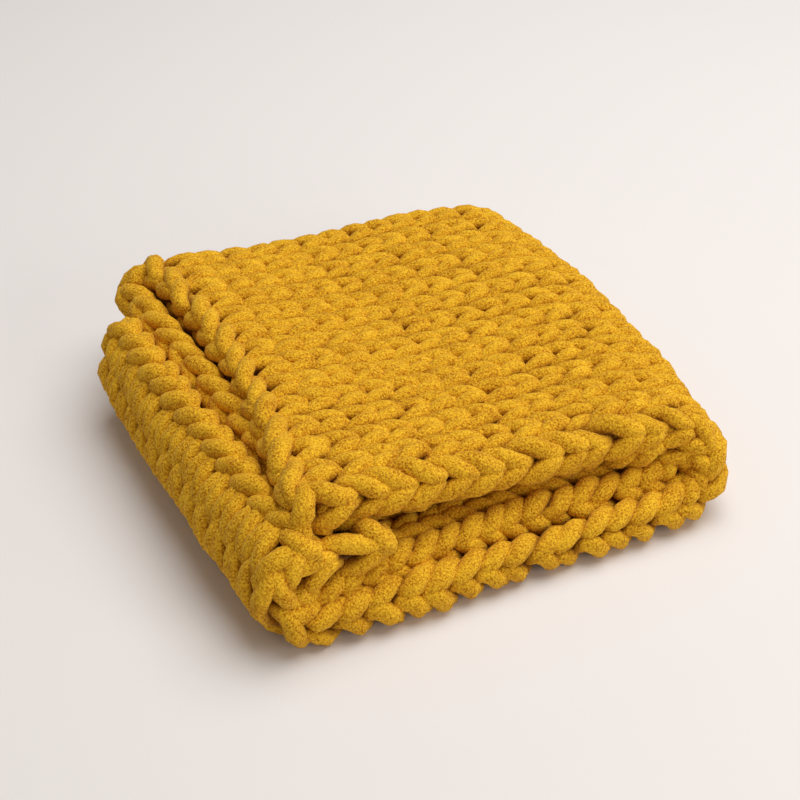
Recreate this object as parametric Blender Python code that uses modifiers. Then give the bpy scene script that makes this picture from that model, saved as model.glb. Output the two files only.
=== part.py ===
# A chunky hand-knitted chenille throw, folded for a shelf or a sofa arm.
# It is one knitted piece. It is doubled along its length with the crease at the back,
# and the doubled strip is then folded over itself once: along the top, down round the
# right end, back along the floor and up round the left end.
# The solid is the cloth's own thickness on the middle surface of those layers.
# Metres, +Z up. The origin is on the floor under the middle of the folded throw.

import math

import bpy
import numpy as np

# Driving sizes
CLOTH_THICKNESS = 0.020
LAYER_PITCH = 0.031
ROWS_ALONG = 88
TURN_CLOSENESS = 0.16
FINE_STEPS = 1201
STEPS_ACROSS_LAYER = 6
STEPS_ROUND_CREASE = 6
CREASE_FULLNESS = 1.0

# The middle of the folded throw, seen from above, in the tables below
MIDDLE = np.array([-0.0029, -0.0252, 0.0])

# Heights of the middle of each layer, from the floor up
FLOOR_LAYER = CLOTH_THICKNESS / 2
SECOND_LAYER = FLOOR_LAYER + LAYER_PITCH
THIRD_LAYER = SECOND_LAYER + LAYER_PITCH
FOURTH_LAYER = THIRD_LAYER + LAYER_PITCH
RAISED_LAYER = FOURTH_LAYER + LAYER_PITCH

# The inner layer turns tightly at both ends, round this level
INNER_TURN = (SECOND_LAYER + THIRD_LAYER) / 2
TURN_START_RISE = 0.55 * LAYER_PITCH
TURN_BEND_RISE = 0.365 * LAYER_PITCH
HIGH_START = INNER_TURN + TURN_START_RISE
HIGH_BEND = INNER_TURN + TURN_BEND_RISE
LOW_BEND = INNER_TURN - TURN_BEND_RISE
LOW_START = INNER_TURN - TURN_START_RISE

# Each row is a place along the cloth, from its bind-off edge to its cast-on edge.
# The two layers have the same rows, in the same order: the outer layer goes round the inner one.
# Columns: place, front x, front y, front z, middle x, middle z, back x, back y, back z
OUTER_LAYER = (
    ("bind-off edge", -0.214, -0.252, RAISED_LAYER, -0.166, 0.134, -0.203, 0.232, 0.129),
    ("top, left", -0.150, -0.252, RAISED_LAYER, -0.105, 0.130, -0.130, 0.230, 0.119),
    ("top, left of middle", -0.070, -0.252, 0.125, -0.040, 0.114, -0.050, 0.230, 0.109),
    ("top, middle", 0.020, -0.253, 0.109, 0.040, 0.108, 0.040, 0.230, 0.108),
    ("top, right", 0.110, -0.255, 0.107, 0.130, 0.107, 0.120, 0.229, 0.107),
    ("top, far right", 0.165, -0.259, 0.107, 0.185, 0.107, 0.175, 0.227, 0.106),
    ("right shoulder", 0.207, -0.267, 0.106, 0.228, 0.105, 0.216, 0.222, 0.104),
    ("right reach, upper", 0.236, -0.282, 0.092, 0.274, 0.090, 0.259, 0.215, 0.088),
    ("right reach", 0.2435, -0.295, 0.060, 0.2835, 0.056, 0.2665, 0.209, 0.056),
    ("right reach, lower", 0.233, -0.303, 0.025, 0.271, 0.024, 0.255, 0.204, 0.024),
    ("right heel", 0.202, -0.307, FLOOR_LAYER, 0.226, FLOOR_LAYER, 0.212, 0.201, FLOOR_LAYER),
    ("floor, far right", 0.160, -0.308, FLOOR_LAYER, 0.180, FLOOR_LAYER, 0.172, 0.198, FLOOR_LAYER),
    ("floor, right", 0.110, -0.308, FLOOR_LAYER, 0.125, FLOOR_LAYER, 0.120, 0.195, FLOOR_LAYER),
    ("floor, middle", 0.010, -0.306, FLOOR_LAYER, 0.010, FLOOR_LAYER, 0.010, 0.190, FLOOR_LAYER),
    ("floor, left", -0.090, -0.304, FLOOR_LAYER, -0.105, FLOOR_LAYER, -0.105, 0.180, FLOOR_LAYER),
    ("floor, far left", -0.155, -0.304, FLOOR_LAYER, -0.178, FLOOR_LAYER, -0.182, 0.166, FLOOR_LAYER),
    ("left heel", -0.204, -0.303, FLOOR_LAYER, -0.229, FLOOR_LAYER, -0.236, 0.152, FLOOR_LAYER),
    ("left reach, lower", -0.246, -0.298, 0.023, -0.267, 0.022, -0.275, 0.139, 0.022),
    ("left reach", -0.2625, -0.292, 0.058, -0.2825, 0.056, -0.289, 0.133, 0.053),
    ("left reach, upper", -0.255, -0.285, 0.095, -0.276, 0.092, -0.284, 0.131, 0.087),
    ("left crown", -0.232, -0.277, 0.108, -0.260, 0.104, -0.264, 0.133, 0.103),
    ("left crown, top", -0.209, -0.272, 0.108, -0.247, 0.104, -0.245, 0.136, 0.104),
    ("cast-on edge", -0.187, -0.268, 0.107, -0.235, 0.103, -0.229, 0.139, 0.103),
)
INNER_LAYER = (
    ("bind-off edge", -0.162, -0.251, 0.106, -0.206, 0.106, -0.208, 0.232, 0.099),
    ("under top, left", -0.115, -0.251, 0.106, -0.155, 0.103, -0.148, 0.230, 0.088),
    ("under top, left of middle", -0.040, -0.252, 0.086, -0.080, 0.085, -0.070, 0.230, 0.078),
    ("under top, middle", 0.030, -0.254, 0.075, 0.020, 0.076, 0.030, 0.230, 0.075),
    ("under top, right", 0.108, -0.261, THIRD_LAYER, 0.115, THIRD_LAYER, 0.112, 0.226, 0.074),
    ("nose, start above", 0.169, -0.270, THIRD_LAYER, 0.177, THIRD_LAYER, 0.169, 0.222, THIRD_LAYER),
    ("nose, above", 0.187, -0.273, HIGH_START, 0.195, HIGH_START, 0.187, 0.219, HIGH_START),
    ("nose, upper bend", 0.203, -0.276, HIGH_BEND, 0.211, HIGH_BEND, 0.203, 0.215, HIGH_BEND),
    ("nose", 0.2075, -0.278, INNER_TURN, 0.2155, INNER_TURN, 0.2075, 0.211, INNER_TURN),
    ("nose, lower bend", 0.203, -0.279, LOW_BEND, 0.211, LOW_BEND, 0.203, 0.208, LOW_BEND),
    ("nose, below", 0.187, -0.279, LOW_START, 0.195, LOW_START, 0.187, 0.205, LOW_START),
    ("nose, start below", 0.169, -0.278, SECOND_LAYER, 0.177, SECOND_LAYER, 0.169, 0.203, SECOND_LAYER),
    ("way back, right", 0.100, -0.272, SECOND_LAYER, 0.110, SECOND_LAYER, 0.112, 0.198, SECOND_LAYER),
    ("way back, middle", 0.000, -0.268, SECOND_LAYER, 0.000, SECOND_LAYER, 0.000, 0.190, SECOND_LAYER),
    ("way back, left", -0.110, -0.276, SECOND_LAYER, -0.120, SECOND_LAYER, -0.118, 0.178, SECOND_LAYER),
    ("left, start below", -0.189, -0.285, SECOND_LAYER, -0.210, SECOND_LAYER, -0.206, 0.159, SECOND_LAYER),
    ("left, below", -0.207, -0.286, LOW_START, -0.228, LOW_START, -0.224, 0.152, LOW_START),
    ("left, lower bend", -0.223, -0.286, LOW_BEND, -0.244, LOW_BEND, -0.240, 0.147, LOW_BEND),
    ("left", -0.2275, -0.285, INNER_TURN, -0.2485, INNER_TURN, -0.2445, 0.144, INNER_TURN),
    ("left, upper bend", -0.223, -0.284, HIGH_BEND, -0.244, HIGH_BEND, -0.240, 0.143, HIGH_BEND),
    ("left, above", -0.207, -0.282, HIGH_START, -0.228, HIGH_START, -0.229, 0.143, HIGH_START),
    ("left, start above", -0.180, -0.279, THIRD_LAYER, -0.208, THIRD_LAYER, -0.217, 0.143, THIRD_LAYER),
    ("cast-on edge", -0.115, -0.276, THIRD_LAYER, -0.178, THIRD_LAYER, -0.205, 0.144, THIRD_LAYER),
)

YARN_COLOUR = (0.690, 0.392, 0.035, 1.0)
YARN_ROUGHNESS = 0.95


def smooth_curve(points, places):
    """A cubic B-spline that starts and ends on its end points, at places counted in its points."""
    points = np.array(points, dtype=float)
    before = 2 * points[0] - points[1]
    after = 2 * points[-1] - points[-2]
    hull = np.vstack([before, points, after])
    span = np.minimum(places.astype(int), len(points) - 2)
    u = (places - span)[:, None]
    return ((1 - u) ** 3 * hull[span]
            + (3 * u**3 - 6 * u**2 + 4) * hull[span + 1]
            + (-3 * u**3 + 3 * u**2 + 3 * u + 1) * hull[span + 2]
            + u**3 * hull[span + 3]) / 6


def length_along(curve):
    steps = np.linalg.norm(np.diff(curve, axis=0), axis=1)
    return np.concatenate([[0], np.cumsum(steps)])


def turned_along(curve):
    """The angle that the curve has turned through, from its start to each of its points."""
    run = np.diff(curve, axis=0)
    run /= np.linalg.norm(run, axis=1, keepdims=True)
    angle = np.arccos(np.clip(np.sum(run[1:] * run[:-1], axis=1), -1, 1))
    return np.concatenate([[0], np.cumsum(angle), [np.sum(angle)]])


def layer_sections(table, places):
    """The layer's front, middle and back sections, at places counted in the rows of its table."""
    front = [(row[1], row[2], row[3]) for row in table]
    middle = [(row[4], (row[2] + row[7]) / 2, row[5]) for row in table]
    back = [(row[6], row[7], row[8]) for row in table]
    return [smooth_curve(section, places) for section in (front, middle, back)]


def places_along():
    """The places of the solid's rows, closer together where the cloth turns."""
    fine = np.linspace(0, len(OUTER_LAYER) - 1, FINE_STEPS)
    filled = np.zeros(FINE_STEPS)
    for table in (OUTER_LAYER, INNER_LAYER):
        for section in layer_sections(table, fine):
            filled += length_along(section) + TURN_CLOSENESS * turned_along(section)
    return np.interp(np.linspace(0, filled[-1], ROWS_ALONG), filled, fine)


def across_layer(sections, r):
    """The line of the layer at r, from 0 at the front edge to 1 at the back crease."""
    front, middle, back = sections
    return (front * (1 - r) * (1 - 2 * r)
            + middle * 4 * r * (1 - r)
            + back * r * (2 * r - 1))


def round_crease(outer_back, inner_back, turn):
    """The line of the crease at the angle turn, from 0 on the outer layer to pi on the inner."""
    centre = (outer_back + inner_back) / 2
    half = (outer_back - inner_back) / 2
    run = np.gradient(centre, axis=0)
    run /= np.linalg.norm(run, axis=1, keepdims=True)
    apart = half - run * np.sum(half * run, axis=1, keepdims=True)
    depth = CREASE_FULLNESS * np.linalg.norm(apart, axis=1, keepdims=True)
    backwards = np.array([0.0, 1.0, 0.0]) - run * run[:, 1:2]
    backwards /= np.linalg.norm(backwards, axis=1, keepdims=True)
    return centre + half * math.cos(turn) + backwards * depth * math.sin(turn)


def middle_surface():
    """Lines along the cloth, from the outer layer's front edge to the inner layer's."""
    places = places_along()
    outer = layer_sections(OUTER_LAYER, places)
    inner = layer_sections(INNER_LAYER, places)
    lines = [across_layer(outer, k / STEPS_ACROSS_LAYER) for k in range(STEPS_ACROSS_LAYER)]
    for k in range(STEPS_ROUND_CREASE + 1):
        lines.append(round_crease(outer[2], inner[2], math.pi * k / STEPS_ROUND_CREASE))
    lines += [across_layer(inner, 1 - (k + 1) / STEPS_ACROSS_LAYER) for k in range(STEPS_ACROSS_LAYER)]
    return np.array(lines) - MIDDLE


def build_throw(collection, material):
    lines = middle_surface()
    across, along, _ = lines.shape
    corners = [tuple(point) for point in lines.reshape(-1, 3)]
    faces = []
    for i in range(across - 1):
        for j in range(along - 1):
            low = i * along + j
            faces.append((low, low + 1, low + along + 1, low + along))
    mesh = bpy.data.meshes.new("knitted_throw")
    mesh.from_pydata(corners, [], faces)
    mesh.materials.append(material)
    mesh.shade_smooth()
    throw = bpy.data.objects.new("knitted_throw", mesh)
    collection.objects.link(throw)
    cloth = throw.modifiers.new("cloth thickness", "SOLIDIFY")
    cloth.thickness = CLOTH_THICKNESS
    cloth.offset = 0.0
    cloth.use_even_offset = False
    cloth.use_rim = True
    return throw


def yarn_material():
    material = bpy.data.materials.new("mustard chenille")
    material.use_nodes = True
    shader = material.node_tree.nodes["Principled BSDF"]
    shader.inputs["Base Color"].default_value = YARN_COLOUR
    shader.inputs["Roughness"].default_value = YARN_ROUGHNESS
    shader.inputs["Metallic"].default_value = 0.0
    return material


for old in list(bpy.data.objects):
    bpy.data.objects.remove(old, do_unlink=True)
throw_collection = bpy.data.collections.new("Chenille throw")
bpy.context.scene.collection.children.link(throw_collection)
build_throw(throw_collection, yarn_material())
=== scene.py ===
# A chunky hand-knitted chenille throw, folded for a sofa arm, in mustard yellow.
# Metres, +Z up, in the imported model's own frame.

import math

import bpy
import numpy as np
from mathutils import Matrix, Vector


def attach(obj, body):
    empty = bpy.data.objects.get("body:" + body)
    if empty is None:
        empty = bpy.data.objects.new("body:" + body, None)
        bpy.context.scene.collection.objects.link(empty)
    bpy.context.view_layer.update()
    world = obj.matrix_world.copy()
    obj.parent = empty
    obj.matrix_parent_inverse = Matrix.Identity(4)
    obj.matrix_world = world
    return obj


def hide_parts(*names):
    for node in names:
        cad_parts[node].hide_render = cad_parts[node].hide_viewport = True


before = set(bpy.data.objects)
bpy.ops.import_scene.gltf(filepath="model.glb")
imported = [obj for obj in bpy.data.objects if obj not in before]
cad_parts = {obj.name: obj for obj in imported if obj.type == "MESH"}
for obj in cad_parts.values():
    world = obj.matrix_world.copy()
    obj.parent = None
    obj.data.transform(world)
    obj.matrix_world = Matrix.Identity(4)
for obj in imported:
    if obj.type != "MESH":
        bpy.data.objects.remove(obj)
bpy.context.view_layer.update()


# The view
# The throw is seen from above its front left corner, with a long lens and no shift.
CAMERA_PLACE = Vector((-0.5471, -1.1448, 1.0))
CAMERA_DOWN = math.radians(37.0)
CAMERA_TURN = math.radians(-25.6)
SENSOR_WIDTH = 36.0
IMAGE_WIDTH_PX = 800
FOCAL_LENGTH_PX = 1411
camera = bpy.data.objects.new("camera", bpy.data.cameras.new("camera"))
bpy.context.scene.collection.objects.link(camera)
camera.location = CAMERA_PLACE
camera.rotation_euler = (math.pi / 2 - CAMERA_DOWN, 0, CAMERA_TURN)
camera.data.sensor_width = SENSOR_WIDTH
camera.data.lens = SENSOR_WIDTH * FOCAL_LENGTH_PX / IMAGE_WIDTH_PX
bpy.context.scene.camera = camera


# The folded cloth
# One cloth, hand-knitted from a single thick yarn, is doubled with its crease at the back, and the
# doubled strip is folded over itself once. Each layer goes through sections at three depths.

# Heights of the middles of the lower layers, and of the bends between the second and the third.
LAYER_PITCH = 0.0280
FIRST = 0.0165
SECOND = FIRST + LAYER_PITCH
THIRD = SECOND + LAYER_PITCH
TURN = (SECOND + THIRD) / 2
BEND_START = 0.55 * LAYER_PITCH
BEND = 0.365 * LAYER_PITCH
HIGH_START = TURN + BEND_START
HIGH_BEND = TURN + BEND
LOW_BEND = TURN - BEND
LOW_START = TURN - BEND_START

# Columns: place, front x, front y, front z, middle x, middle z, back x, back y, back z
OUTER_LAYER = (
    ("bind-off edge", -0.222, -0.252, 0.128, -0.190, 0.128, -0.207, 0.232, 0.119),
    ("top, left", -0.150, -0.252, 0.127, -0.122, 0.123, -0.130, 0.230, 0.112),
    ("top, left of middle", -0.070, -0.252, 0.118, -0.048, 0.108, -0.050, 0.230, 0.102),
    ("top, middle", 0.020, -0.253, 0.102, 0.040, 0.101, 0.040, 0.230, 0.101),
    ("top, right", 0.110, -0.255, 0.100, 0.130, 0.100, 0.120, 0.229, 0.100),
    ("top, far right", 0.165, -0.259, 0.100, 0.185, 0.100, 0.175, 0.227, 0.099),
    ("right shoulder", 0.205, -0.267, 0.099, 0.225, 0.098, 0.213, 0.222, 0.097),
    ("right reach, upper", 0.232, -0.282, 0.087, 0.269, 0.085, 0.254, 0.215, 0.083),
    ("right reach", 0.2385, -0.295, 0.058, 0.278, 0.056, 0.261, 0.209, 0.056),
    ("right reach, lower", 0.229, -0.303, 0.028, 0.266, 0.027, 0.250, 0.204, 0.027),
    ("right heel", 0.200, -0.307, FIRST, 0.224, FIRST, 0.210, 0.201, FIRST),
    ("floor, far right", 0.160, -0.308, FIRST, 0.180, FIRST, 0.172, 0.198, FIRST),
    ("floor, right", 0.110, -0.308, FIRST, 0.125, FIRST, 0.120, 0.195, FIRST),
    ("floor, middle", 0.010, -0.306, FIRST, 0.010, FIRST, 0.010, 0.190, FIRST),
    ("floor, left", -0.090, -0.304, FIRST, -0.105, FIRST, -0.105, 0.180, FIRST),
    ("floor, far left", -0.155, -0.304, FIRST, -0.178, FIRST, -0.182, 0.166, FIRST),
    ("left heel", -0.204, -0.303, FIRST, -0.227, FIRST, -0.234, 0.152, FIRST),
    ("left reach, lower", -0.241, -0.298, 0.027, -0.262, 0.027, -0.270, 0.139, 0.027),
    ("left reach", -0.257, -0.292, 0.056, -0.277, 0.054, -0.284, 0.133, 0.052),
    ("left reach, upper", -0.252, -0.285, 0.086, -0.274, 0.080, -0.283, 0.133, 0.076),
    ("left crown", -0.236, -0.279, 0.099, -0.262, 0.094, -0.274, 0.140, 0.091),
    ("left crown, top", -0.219, -0.274, 0.101, -0.245, 0.099, -0.262, 0.148, 0.097),
    ("cast-on edge", -0.200, -0.270, 0.101, -0.227, 0.102, -0.248, 0.155, 0.100),
)
INNER_LAYER = (
    ("bind-off edge", -0.194, -0.250, 0.102, -0.216, 0.106, -0.241, 0.228, 0.101),
    ("under top, left", -0.125, -0.243, 0.098, -0.155, 0.099, -0.160, 0.229, 0.086),
    ("under top, left of middle", -0.050, -0.235, 0.086, -0.080, 0.079, -0.070, 0.230, 0.074),
    ("under top, middle", 0.030, -0.232, 0.074, 0.020, 0.072, 0.030, 0.230, 0.072),
    ("under top, right", 0.108, -0.242, THIRD, 0.115, THIRD, 0.112, 0.226, THIRD),
    ("nose, start above", 0.169, -0.260, THIRD, 0.177, THIRD, 0.169, 0.222, THIRD),
    ("nose, above", 0.187, -0.266, HIGH_START, 0.195, HIGH_START, 0.187, 0.219, HIGH_START),
    ("nose, upper bend", 0.203, -0.272, HIGH_BEND, 0.211, HIGH_BEND, 0.203, 0.215, HIGH_BEND),
    ("nose", 0.2075, -0.278, TURN, 0.2155, TURN, 0.2075, 0.211, TURN),
    ("nose, lower bend", 0.203, -0.279, LOW_BEND, 0.211, LOW_BEND, 0.203, 0.208, LOW_BEND),
    ("nose, below", 0.187, -0.279, LOW_START, 0.195, LOW_START, 0.187, 0.205, LOW_START),
    ("nose, start below", 0.169, -0.278, SECOND, 0.177, SECOND, 0.169, 0.203, SECOND),
    ("way back, right", 0.100, -0.272, SECOND, 0.110, SECOND, 0.112, 0.198, SECOND),
    ("way back, middle", 0.000, -0.268, SECOND, 0.000, SECOND, 0.000, 0.190, SECOND),
    ("way back, left", -0.110, -0.276, SECOND, -0.120, SECOND, -0.118, 0.178, SECOND),
    ("left, start below", -0.189, -0.285, SECOND, -0.210, SECOND, -0.206, 0.159, SECOND),
    ("left, below", -0.207, -0.286, LOW_START, -0.228, LOW_START, -0.224, 0.152, LOW_START),
    ("left, lower bend", -0.223, -0.286, LOW_BEND, -0.242, LOW_BEND, -0.240, 0.147, LOW_BEND),
    ("left", -0.2275, -0.285, TURN, -0.246, TURN, -0.2445, 0.144, TURN),
    ("left, upper bend", -0.223, -0.284, HIGH_BEND, -0.242, HIGH_BEND, -0.240, 0.143, HIGH_BEND),
    ("left, above", -0.207, -0.282, HIGH_START, -0.228, HIGH_START, -0.229, 0.143, HIGH_START),
    ("left, start above", -0.180, -0.279, THIRD, -0.208, THIRD, -0.217, 0.143, THIRD),
    ("cast-on edge", -0.115, -0.276, THIRD, -0.178, THIRD, -0.205, 0.144, THIRD),
)

# The point of the tables that stands on the frame's origin.
TABLE_MIDDLE = np.array([-0.0029, -0.0252, 0.0])
FINE_PLACES = 2001

# The size of the cloth in wales across it and in courses along it.
COURSES = 35
STEPS_PER_COURSE = 10
END_STEPS = 7
SELVEDGE_WALES = 1.0
OUTER_WALES = 12.5
CREASE_WALES = 1.5
INNER_WALES = 12.0
WALES = SELVEDGE_WALES + OUTER_WALES + CREASE_WALES + INNER_WALES + SELVEDGE_WALES
STEPS_PER_WALE = 6
CREASE_STEPS = 16

# The courses lie further apart round the left end: by the full share within one row of the tables
# from its middle, and by nothing from three rows on.
END_ROW = 18.5
END_STRETCH = 0.22
FULL_STRETCH_ROWS = 1
NO_STRETCH_ROWS = 3

# The wale at each selvedge rolls round to the purl side, less far where the knit side is up. Its
# turns are at the middle and at the outer end of the wale.
SELVEDGE_RADIUS = 0.0092
SELVEDGE_INSET = 0.012
SELVEDGE_RISE = 0.003
SELVEDGE_RISE_WALES = 1.2
SELVEDGE_HALF = 0.5
SELVEDGE_ROLLED = 0.85
SELVEDGE_MIDDLE = math.radians(92)
SELVEDGE_MIDDLE_LEAN = math.radians(27)
SELVEDGE_END = math.radians(180)
SELVEDGE_END_LEAN = math.radians(20)
LAYER_DEPTH = 0.48
FORWARD_SHARE = 0.04


def smooth_curve(points, places):
    """A cubic B-spline that starts and ends on its end points, at places counted in its points."""
    points = np.array(points, dtype=float)
    hull = np.vstack([2 * points[0] - points[1], points, 2 * points[-1] - points[-2]])
    span = np.minimum(places.astype(int), len(points) - 2)
    u = (places - span)[:, None]
    return ((1 - u) ** 3 * hull[span]
            + (3 * u**3 - 6 * u**2 + 4) * hull[span + 1]
            + (-3 * u**3 + 3 * u**2 + 3 * u + 1) * hull[span + 2]
            + u**3 * hull[span + 3]) / 6


def even_sections(table, count):
    """The layer's front, middle and back sections, with a point for each step along the cloth."""
    fine = np.linspace(0, len(table) - 1, FINE_PLACES)
    columns = (
        [(row[1], row[2], row[3]) for row in table],
        [(row[4], (row[2] + row[7]) / 2, row[5]) for row in table],
        [(row[6], row[7], row[8]) for row in table],
    )
    rows_away = np.abs(fine[1:] - END_ROW)
    stretch = np.clip((NO_STRETCH_ROWS - rows_away) / (NO_STRETCH_ROWS - FULL_STRETCH_ROWS), 0, 1)
    gauge = 1 - END_STRETCH * stretch
    length = np.zeros(len(fine))
    for points in columns:
        curve = smooth_curve(points, fine)
        length[1:] += np.cumsum(np.linalg.norm(np.diff(curve, axis=0), axis=1) * gauge)
    places = np.interp(np.linspace(0, length[-1], count), length, fine)
    return [smooth_curve(points, places) - TABLE_MIDDLE for points in columns]


def unit(vectors):
    """Vectors of length 1 in the same directions."""
    return vectors / np.linalg.norm(vectors, axis=-1, keepdims=True)


def across_layer(sections, r):
    """The layer's line at the share r of the way back, on a parabola through its three sections."""
    front, middle, back = sections
    return front * (1 - r) * (1 - 2 * r) + middle * 4 * r * (1 - r) + back * r * (2 * r - 1)


def layer_lines(sections, wales, knit_side):
    """The layer's lines from its rolled selvedge to the crease, and their places in wales.

    knit_side is 1 if the knit side is up where the cloth runs to the right, and -1 if it is down.
    """
    front = across_layer(sections, 0.0)
    forward = unit(front - across_layer(sections, FORWARD_SHARE))
    run = unit(np.gradient(front, axis=0))
    knit = unit(np.cross(forward, run)) * knit_side
    front = front - forward * SELVEDGE_INSET
    middle_turn = SELVEDGE_MIDDLE - SELVEDGE_MIDDLE_LEAN * knit[:, 2:3]
    end_turn = SELVEDGE_END - SELVEDGE_END_LEAN * knit[:, 2:3]
    lines = []
    places = []
    round_steps = STEPS_PER_WALE * 2
    for i in range(round_steps):
        place = SELVEDGE_ROLLED * i / round_steps
        if place < SELVEDGE_HALF:
            turn = end_turn + (middle_turn - end_turn) * place / SELVEDGE_HALF
        else:
            turn = middle_turn * (SELVEDGE_ROLLED - place) / (SELVEDGE_ROLLED - SELVEDGE_HALF)
        lines.append(front + forward * SELVEDGE_RADIUS * (np.sin(turn) - 1)
                     + knit * (SELVEDGE_RADIUS * (np.cos(turn) - 1) + SELVEDGE_RISE))
        places.append(place)
    one_wale = 1 / wales
    start = (SELVEDGE_INSET + SELVEDGE_RADIUS) / LAYER_DEPTH
    flat_steps = int(wales * STEPS_PER_WALE)
    for i in range(flat_steps + 1):
        r = i / flat_steps
        rise = max(0.0, 1 - r / (SELVEDGE_RISE_WALES * one_wale))
        line = across_layer(sections, start + (1 - start) * r)
        lines.append(line + knit * SELVEDGE_RISE * rise * rise * (3 - 2 * rise))
        places.append(SELVEDGE_ROLLED + (SELVEDGE_WALES - SELVEDGE_ROLLED + wales) * r)
    return lines, places


def round_crease(outer_back, inner_back, turn):
    """The line of the crease at the angle turn, from 0 on the outer layer to pi on the inner."""
    centre = (outer_back + inner_back) / 2
    half = (outer_back - inner_back) / 2
    run = unit(np.gradient(centre, axis=0))
    apart = half - run * np.sum(half * run, axis=1, keepdims=True)
    depth = np.linalg.norm(apart, axis=1, keepdims=True)
    backwards = unit(np.array([0.0, 1.0, 0.0]) - run * run[:, 1:2])
    return centre + half * math.cos(turn) + backwards * depth * math.sin(turn)


along_count = COURSES * STEPS_PER_COURSE + 1
outer = even_sections(OUTER_LAYER, along_count)
inner = even_sections(INNER_LAYER, along_count)
outer_lines, outer_places = layer_lines(outer, OUTER_WALES, 1)
inner_lines, inner_places = layer_lines(inner, INNER_WALES, -1)
crease_lines = [round_crease(outer[2], inner[2], math.pi * k / CREASE_STEPS)
                for k in range(1, CREASE_STEPS)]
crease_places = [outer_places[-1] + CREASE_WALES * k / CREASE_STEPS for k in range(1, CREASE_STEPS)]
surface = np.array(outer_lines + crease_lines + inner_lines[::-1])
line_places = np.array(outer_places + crease_places + [WALES - place for place in inner_places[::-1]])


class Knitting:
    """A surface to knit on, with places across it in wales and along it in courses."""

    # Places are kept this far short of the last line and of the last course, inside the surface.
    LINES_SHORT = 1.001
    COURSES_SHORT = 1e-6

    def __init__(self, lines, places, courses):
        self.lines = lines
        self.places = places
        self.courses = courses
        self.steps = (lines.shape[1] - 1) / courses
        self.facing = unit(np.cross(np.gradient(lines, axis=1), np.gradient(lines, axis=0)))

    def at(self, wale, course, above):
        """Points above the surface on its knit side, at places in wales and courses, and its normals."""
        across = np.interp(wale, self.places, np.arange(len(self.places)))
        across = np.clip(across, 0, len(self.places) - self.LINES_SHORT)
        inside = np.clip(course, 0, self.courses - self.COURSES_SHORT)
        along = inside * self.steps
        i = across.astype(int)
        j = along.astype(int)
        di = (across - i)[..., None]
        dj = (along - j)[..., None]
        point = 0
        normal = 0
        for a, share_across in ((0, 1 - di), (1, di)):
            for b, share_along in ((0, 1 - dj), (1, dj)):
                share = share_across * share_along
                point = point + self.lines[i + a, j + b] * share
                normal = normal + self.facing[i + a, j + b] * share
        normal = unit(normal)
        first_step = self.lines[i, 1] - self.lines[i, 0]
        last_step = self.lines[i, -1] - self.lines[i, -2]
        past_end = (course - inside)[..., None] * self.steps
        point = point + past_end * np.where(past_end < 0, first_step, last_step)
        return point + normal * above[..., None], normal


# The stitches stop short of both ends of the cloth, where the edge chains lie.
STITCH_COURSES = COURSES - 1
whole_cloth = Knitting(surface, line_places, COURSES)
cloth = Knitting(surface[:, END_STEPS:-END_STEPS], line_places, STITCH_COURSES)


# The ground of the cloth
# Deep between the stitches the yarn on the purl side of every loop lies in shade, which is painted:
# it is one thin dark sheet on the middle of the cloth, which the stitches go round.
GROUND_THICKNESS = 0.003
GROUND_INSET_LINES = 8
GROUND_STEP = 5
ground_rows = surface[GROUND_INSET_LINES:-GROUND_INSET_LINES,
                      STEPS_PER_COURSE:-STEPS_PER_COURSE:GROUND_STEP]
across, along, _ = ground_rows.shape
ground_corners = [tuple(corner) for corner in ground_rows.reshape(-1, 3)]
ground_faces = [(i * along + j, (i + 1) * along + j, (i + 1) * along + j + 1, i * along + j + 1)
                for i in range(across - 1) for j in range(along - 1)]
ground_mesh = bpy.data.meshes.new("cloth_ground")
ground_mesh.from_pydata(ground_corners, [], ground_faces)
ground_mesh.shade_smooth()
cloth_ground = bpy.data.objects.new("cloth_ground", ground_mesh)
bpy.context.scene.collection.objects.link(cloth_ground)
thickness = cloth_ground.modifiers.new("thickness", "SOLIDIFY")
thickness.thickness = GROUND_THICKNESS
thickness.offset = 0.0
bpy.context.view_layer.objects.active = cloth_ground
cloth_ground.select_set(True)
bpy.ops.object.modifier_apply(modifier=thickness.name)


class Socket:
    """A node's output, so that shader maths reads as an expression on numbers."""

    # A Mix node has sockets of one name for each kind of data, so those for colours go by number.
    MIX_SHARE = 0
    MIX_FIRST = 6
    MIX_SECOND = 7
    MIX_RESULT = 2

    def __init__(self, tree, output):
        self.tree = tree
        self.output = output

    @classmethod
    def node(cls, tree, kind, settings, values, output):
        """One output of a new node, which gets its settings first and then its values and links."""
        made = tree.nodes.new(kind)
        for name, setting in settings.items():
            setattr(made, name, setting)
        for name, value in values.items():
            if isinstance(value, Socket):
                tree.links.new(value.output, made.inputs[name])
            else:
                made.inputs[name].default_value = value
        return cls(tree, made.outputs[output])

    def maths(self, operation, a, b):
        return Socket.node(self.tree, "ShaderNodeMath", {"operation": operation}, {0: a, 1: b}, "Value")

    def __add__(self, other):
        return self.maths("ADD", self, other)

    def __sub__(self, other):
        return self.maths("SUBTRACT", self, other)

    def __rsub__(self, other):
        return self.maths("SUBTRACT", other, self)

    def __mul__(self, other):
        return self.maths("MULTIPLY", self, other)

    __radd__ = __add__
    __rmul__ = __mul__

    def mix(self, first, second):
        """A colour between the first, where this value is 0, and the second, where it is 1."""
        sockets = {self.MIX_SHARE: self, self.MIX_FIRST: first, self.MIX_SECOND: second}
        return Socket.node(self.tree, "ShaderNodeMix", {"data_type": "RGBA"}, sockets, self.MIX_RESULT)

    def noise(self, scale, detail, roughness=0.5):
        """Noise between 0 and 1 at the place that this socket gives."""
        values = {"Vector": self, "Scale": scale, "Detail": detail, "Roughness": roughness}
        return Socket.node(self.tree, "ShaderNodeTexNoise", {}, values, 0)


# Painted shade: the sheet's dark colours stand for the shade deep between the stitches.
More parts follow.
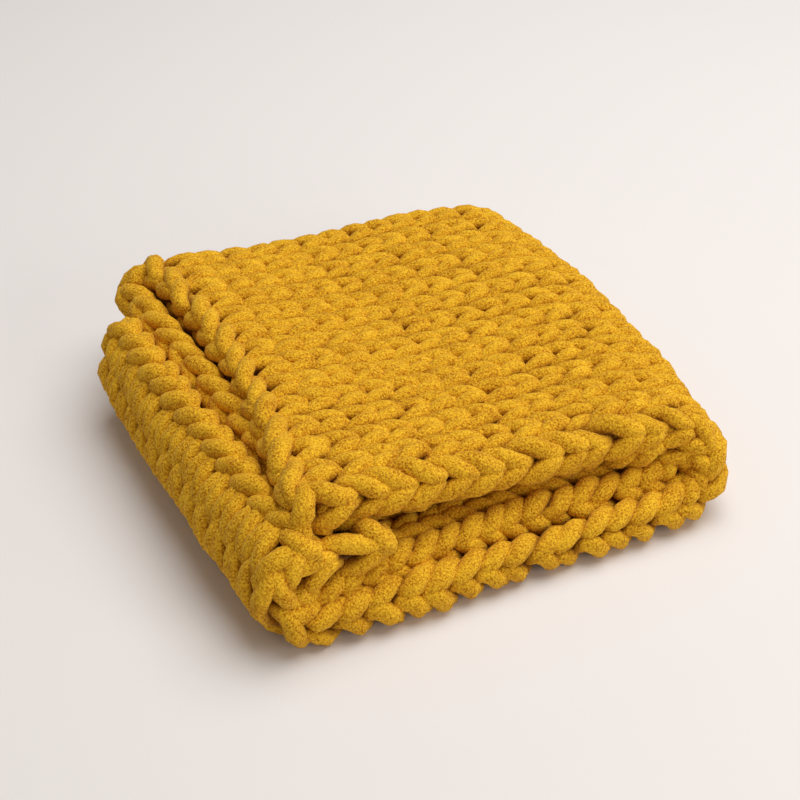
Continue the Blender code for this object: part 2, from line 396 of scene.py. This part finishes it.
GROUND_PAINTED_SHADE_LIGHT = (0.20, 0.075, 0.008, 1.0)
GROUND_PAINTED_SHADE_DARK = (0.13, 0.045, 0.005, 1.0)
GROUND_GRAIN = 260.0
ground_shade_material = bpy.data.materials.new("painted shade between stitches")
ground_shade_material.use_nodes = True
ground_tree = ground_shade_material.node_tree
ground_shader = ground_tree.nodes["Principled BSDF"]
ground_place = Socket.node(ground_tree, "ShaderNodeTexCoord", {}, {}, "Object")
ground_painted_shade = ground_place.noise(GROUND_GRAIN, detail=2.0).mix(GROUND_PAINTED_SHADE_DARK, GROUND_PAINTED_SHADE_LIGHT)
ground_tree.links.new(ground_painted_shade.output, ground_shader.inputs["Base Color"])
ground_shader.inputs["Roughness"].default_value = 1.0
cloth_ground.data.materials.append(ground_shade_material)


# The chenille yarn
# Jumbo chenille is a core with a short dense velvet pile all round. The pile is matt, it catches
# light at its edges, and it looks granular from near by.
PILE_LIGHT = (0.95, 0.550, 0.026, 1.0)
PILE_DARK = (0.39, 0.120, 0.001, 1.0)
PILE_SHEEN = (1.0, 0.80, 0.35, 1.0)
PILE_GRAIN = 470.0
PILE_PATCH = 45.0
PILE_BUMP = 0.0022

# How far the speckle goes from light to dark with the grain, the patches and the tufts.
MEAN_SHADE = 0.62
GRAIN_CONTRAST = 2.6
PATCH_CONTRAST = 0.8
TUFT_CONTRAST = 0.6
MEAN_NOISE = 0.5
MEAN_TUFT = 0.45
GRAIN_HEIGHT = 0.7
TUFT_HEIGHT = 0.5

# The yarn's colour has full painted shade up to the first height from the middle of the cloth,
# and none from the second, where it is open to the light.
PAINTED_SHADE_LIGHT = (0.44, 0.160, 0.003, 1.0)
PAINTED_SHADE_DARK = (0.12, 0.034, 0.001, 1.0)
PAINTED_SHADE_FULL_HEIGHT = 0.0035
PAINTED_SHADE_END_HEIGHT = 0.0125

pile = bpy.data.materials.new("mustard chenille")
pile.use_nodes = True
pile_tree = pile.node_tree
pile_shader = pile_tree.nodes["Principled BSDF"]
pile_place = Socket.node(pile_tree, "ShaderNodeTexCoord", {}, {}, "Object")
grain = pile_place.noise(PILE_GRAIN, detail=3.0, roughness=0.6)
patch = pile_place.noise(PILE_PATCH, detail=2.0)
tufts = Socket.node(pile_tree, "ShaderNodeTexVoronoi", {}, {"Vector": pile_place, "Scale": PILE_GRAIN},
                    "Distance")
shade = ((grain - MEAN_NOISE) * GRAIN_CONTRAST + (patch - MEAN_NOISE) * PATCH_CONTRAST
         + (MEAN_TUFT - tufts) * TUFT_CONTRAST + MEAN_SHADE)
speckle = Socket.node(pile_tree, "ShaderNodeClamp", {}, {"Value": shade}, "Result")
height = Socket.node(pile_tree, "ShaderNodeAttribute", {"attribute_name": "height"}, {}, "Fac")
height_range = {"Value": height, "From Min": PAINTED_SHADE_FULL_HEIGHT, "From Max": PAINTED_SHADE_END_HEIGHT}
out_of_painted_shade = Socket.node(pile_tree, "ShaderNodeMapRange", {}, height_range, "Result")
# Painted shade: the pile's colour darkens where the yarn lies low between the stitches.
pile_colour_and_painted_shade = out_of_painted_shade.mix(speckle.mix(PAINTED_SHADE_DARK, PAINTED_SHADE_LIGHT), speckle.mix(PILE_DARK, PILE_LIGHT))
pile_tree.links.new(pile_colour_and_painted_shade.output, pile_shader.inputs["Base Color"])
pile_height = grain * GRAIN_HEIGHT + (1 - tufts) * TUFT_HEIGHT
pile_relief = {"Strength": 0.65, "Distance": PILE_BUMP, "Height": pile_height}
pile_normal = Socket.node(pile_tree, "ShaderNodeBump", {}, pile_relief, "Normal")
pile_tree.links.new(pile_normal.output, pile_shader.inputs["Normal"])
pile_shader.inputs["Roughness"].default_value = 0.95
pile_shader.inputs["Specular IOR Level"].default_value = 0.15
pile_shader.inputs["Sheen Weight"].default_value = 0.13
pile_shader.inputs["Sheen Roughness"].default_value = 0.45
pile_shader.inputs["Sheen Tint"].default_value = PILE_SHEEN


# The knitted stitches
# Each course is one yarn that loops from wale to wale. The two legs of a loop lie on the knit side
# as a V, and its head and feet lie on the purl side. No two hand-made loops are quite alike.

# The yarn's mean thickness. It is plumper in the legs of a loop and thinner at its head and feet.
YARN = 0.0146
LEG_PLUMPNESS = 0.31
POINTS_PER_STITCH = 24
SIDES = 12
PILE_UNEVENNESS = 0.035
LOWEST = 0.0004

# A loop's reach along the cloth, in courses, how far its legs spread, and how far they stand out.
# The first and the last loop of a course are longer, wider and plumper, as at a real selvedge.
LOOP_REACH = 0.99
LOOP_WIDTH = 1.5
EDGE_LOOP_REACH = 1.16
EDGE_LOOP_WIDTH = 2.0
EDGE_PLUMPNESS = 1.13
STITCH_DEPTH = 0.0090
LEG_TOP = math.radians(75)

# How much a loop differs from the next: along, across, in its height and in its thickness.
LOOP_SLIP = 0.09
LOOP_SWAY = 0.05
LOOP_LIFT = 0.0013
LOOP_SWELL = 0.07
SPARE_LOOPS = 3

# A course's yarn starts and ends this far into its edge loops, rounded off over a few rings.
EDGE_TURN = math.radians(28)
END_RINGS = 3
WALES_IN_A_PIECE = (9, 9, 10)
rng = np.random.default_rng(7)


def yarn_mesh(name, paths, normals, radii, above):
    """Yarns along paths, each with rings of SIDES points, as one mesh."""
    yarns, rings, _ = paths.shape
    tangent = unit(np.gradient(paths, axis=1))
    up = unit(normals - tangent * np.sum(normals * tangent, axis=-1, keepdims=True))
    side = np.cross(tangent, up)
    angle = np.linspace(0, 2 * math.pi, SIDES, endpoint=False)
    rough = 1 + PILE_UNEVENNESS * rng.standard_normal((yarns, rings, SIDES, 1))
    ring = (up[:, :, None] * np.cos(angle)[:, None] + side[:, :, None] * np.sin(angle)[:, None])
    corners = paths[:, :, None] + ring * radii[..., None, None] * rough
    corners[..., 2] = np.maximum(corners[..., 2], LOWEST)
    index = np.arange(yarns * rings * SIDES).reshape(yarns, rings, SIDES)
    a = index[:, :-1]
    b = index[:, 1:]
    faces = np.stack([a, np.roll(a, -1, axis=2), np.roll(b, -1, axis=2), b], axis=-1).reshape(-1, 4)
    mesh = bpy.data.meshes.new(name)
    mesh.from_pydata(corners.reshape(-1, 3).tolist(), [], faces.tolist())
    mesh.shade_smooth()
    # Each point's height from the middle of the cloth, which sets how much painted shade the pile gets.
    from_middle = np.abs(above[..., None] + radii[..., None] * np.cos(angle))
    mesh.attributes.new("height", "FLOAT", "POINT").data.foreach_set("value", from_middle.ravel())
    mesh.materials.append(pile)
    piece = bpy.data.objects.new(name, mesh)
    bpy.context.scene.collection.objects.link(piece)
    return piece


def by_hand(turn, yarns, amount):
    """A value that differs from loop to loop and runs smoothly between them."""
    places = turn / (2 * math.pi)
    loops = np.arange(int(places[-1]) + SPARE_LOOPS)
    loop_values = amount * rng.standard_normal((yarns, len(loops)))
    return np.array([np.interp(places, loops, row) for row in loop_values])


def stitch_paths(knitting, wales, depth):
    """The yarn of every course: its points, the surface's normals there, its radii and heights."""
    whole_turn = 2 * math.pi * wales
    turn = np.linspace(EDGE_TURN, whole_turn - EDGE_TURN, int(wales * POINTS_PER_STITCH) + 1)
    at_edge = (turn < 2 * math.pi) | (turn > whole_turn - 2 * math.pi)
    width = np.where(at_edge, EDGE_LOOP_WIDTH, LOOP_WIDTH)
    reach = np.where(at_edge, EDGE_LOOP_REACH, LOOP_REACH)
    rows = np.arange(knitting.courses)[:, None]
    wale = turn / (2 * math.pi) + width * np.sin(2 * turn) / (2 * math.pi)
    wale = wale + by_hand(turn, len(rows), LOOP_SWAY)
    course = rows + 0.5 + reach * np.cos(turn) + by_hand(turn, len(rows), LOOP_SLIP)
    up_the_leg = np.arccos(np.cos(turn))
    above = depth * np.cos(2 * (up_the_leg - LEG_TOP)) + by_hand(turn, len(rows), LOOP_LIFT)
    points, normals = knitting.at(wale, course, above)
    radii = YARN / 2 * (1 - LEG_PLUMPNESS * np.cos(2 * turn)) * np.where(at_edge, EDGE_PLUMPNESS, 1)
    from_end = np.minimum(np.arange(len(turn)), np.arange(len(turn))[::-1]) / END_RINGS
    rounded = np.sqrt(1 - (1 - np.minimum(from_end, 1)) ** 2)
    radii = radii * rounded * (1 + by_hand(turn, len(rows), LOOP_SWELL))
    return points, normals, radii, above


stitches = stitch_paths(cloth, WALES, STITCH_DEPTH)
yarn_pieces = []
first_ring = 0
for name, wale_count in zip(("outer_stitches", "crease_stitches", "inner_stitches"), WALES_IN_A_PIECE):
    last_ring = first_ring + wale_count * POINTS_PER_STITCH
    yarn_pieces.append(yarn_mesh(name, *(values[:, first_ring:last_ring + 1] for values in stitches)))
    first_ring = last_ring


# The bind-off and cast-on edges
# At both ends of the cloth a chain of the same yarn runs along the edge, one link to each wale.
# It goes round the edge, with one leg of each link above it and one below.
CHAIN_INSET = 0.45
CHAIN_DEPTH = 0.0074
CHAIN_TURN = math.radians(215)
CHAIN_STEPS_ROUND = 12
CHAIN_STEPS_PER_LINK = 10
OUTWARDS_COURSES = 0.3
BIND_OFF_RADIUS = 0.0060
BIND_OFF_LEAN = math.radians(20)
BIND_OFF_RISE = 0.0
CAST_ON_RADIUS = 0.0068
CAST_ON_LEAN = math.radians(60)
CAST_ON_RISE = 0.004


def end_chain(name, course, outwards, radius, lean, rise):
    """A chain along the cloth's end: outwards is -1 at its bind-off edge and 1 at its cast-on edge."""
    links = int(WALES)
    wale = np.linspace(0, WALES, links * CHAIN_STEPS_PER_LINK + 1)
    level = np.zeros(len(wale))
    edge, normals = whole_cloth.at(wale, level + course, level)
    before, _ = whole_cloth.at(wale, level + course - OUTWARDS_COURSES * outwards, level)
    out = unit(edge - before)
    edge = edge + normals * rise * normals[:, 2:3]
    lines = []
    for i in range(CHAIN_STEPS_ROUND + 1):
        turn = CHAIN_TURN * (i / CHAIN_STEPS_ROUND - 0.5) * outwards
        turn = turn + math.pi / 2 - lean * normals[:, 2:3]
        lines.append(edge + radius * (out * np.sin(turn) + normals * np.cos(turn)))
    lines = np.array(lines)[:, ::-1]
    strip = Knitting(lines, np.linspace(0, 1, len(lines)), links)
    points, normals, radii, above = stitch_paths(strip, 1, CHAIN_DEPTH)
    # The chain's heights for the pile's painted shade are counted from the cloth's middle, so its radius
    # is added.
    return yarn_mesh(name, points, normals, radii, above + radius)


yarn_pieces.append(end_chain("bind_off_edge", CHAIN_INSET, -1, BIND_OFF_RADIUS, BIND_OFF_LEAN,
                             BIND_OFF_RISE))
yarn_pieces.append(end_chain("cast_on_edge", COURSES - CHAIN_INSET, 1, CAST_ON_RADIUS,
                             CAST_ON_LEAN, CAST_ON_RISE))


# The whole throw
# All of the yarn is one soft cloth without fastenings or joints, so the stitches and the chains at
# its ends go where its ground goes. Laid flat, it is a small lap throw.
for piece in yarn_pieces:
    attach(piece, "root")
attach(cloth_ground, "root")
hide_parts("knitted_throw")


# The studio
# A plain pale floor that runs out of the picture on all sides, a large soft light high over the
# right of the throw, a weaker one in front of it, and an even warm surround.
FLOOR_SIZE = 30.0
FLOOR_COLOUR = (0.81, 0.775, 0.755, 1.0)
SURROUND_COLOUR = (1.0, 0.94, 0.86, 1.0)
SURROUND_STRENGTH = 0.26
floor_mesh = bpy.data.meshes.new("floor")
floor_half = FLOOR_SIZE / 2
floor_mesh.from_pydata([(-floor_half, -floor_half, 0), (floor_half, -floor_half, 0),
                        (floor_half, floor_half, 0), (-floor_half, floor_half, 0)], [], [(0, 1, 2, 3)])
floor = bpy.data.objects.new("floor", floor_mesh)
bpy.context.scene.collection.objects.link(floor)
floor_material = bpy.data.materials.new("pale studio floor")
floor_material.use_nodes = True
floor_shader = floor_material.node_tree.nodes["Principled BSDF"]
floor_shader.inputs["Base Color"].default_value = FLOOR_COLOUR
floor_shader.inputs["Roughness"].default_value = 0.9
floor_shader.inputs["Specular IOR Level"].default_value = 0.1
floor_mesh.materials.append(floor_material)


def soft_light(name, place, aim, size, watts, colour):
    """A round soft light at a place, turned to what it lights."""
    lamp = bpy.data.lights.new(name, "AREA")
    lamp.shape = "DISK"
    lamp.size = size
    lamp.energy = watts
    lamp.color = colour
    light = bpy.data.objects.new(name, lamp)
    light.location = place
    light.rotation_euler = (Vector(aim) - Vector(place)).to_track_quat("-Z", "Y").to_euler()
    bpy.context.scene.collection.objects.link(light)


soft_light("window", place=(1.15, 0.1, 3.4), aim=(0.0, 0.0, 0.05), size=4.0, watts=131.0,
           colour=(0.99, 0.99, 1.0))
soft_light("front fill", place=(1.2, -2.4, 1.1), aim=(0.0, -0.2, 0.05), size=1.6, watts=18.0,
           colour=(1.0, 0.97, 0.92))
world = bpy.data.worlds.new("pale surround")
bpy.context.scene.world = world
world.use_nodes = True
world.node_tree.nodes["Background"].inputs["Color"].default_value = SURROUND_COLOUR
world.node_tree.nodes["Background"].inputs["Strength"].default_value = SURROUND_STRENGTH
bpy.context.scene.view_settings.view_transform = "Standard"
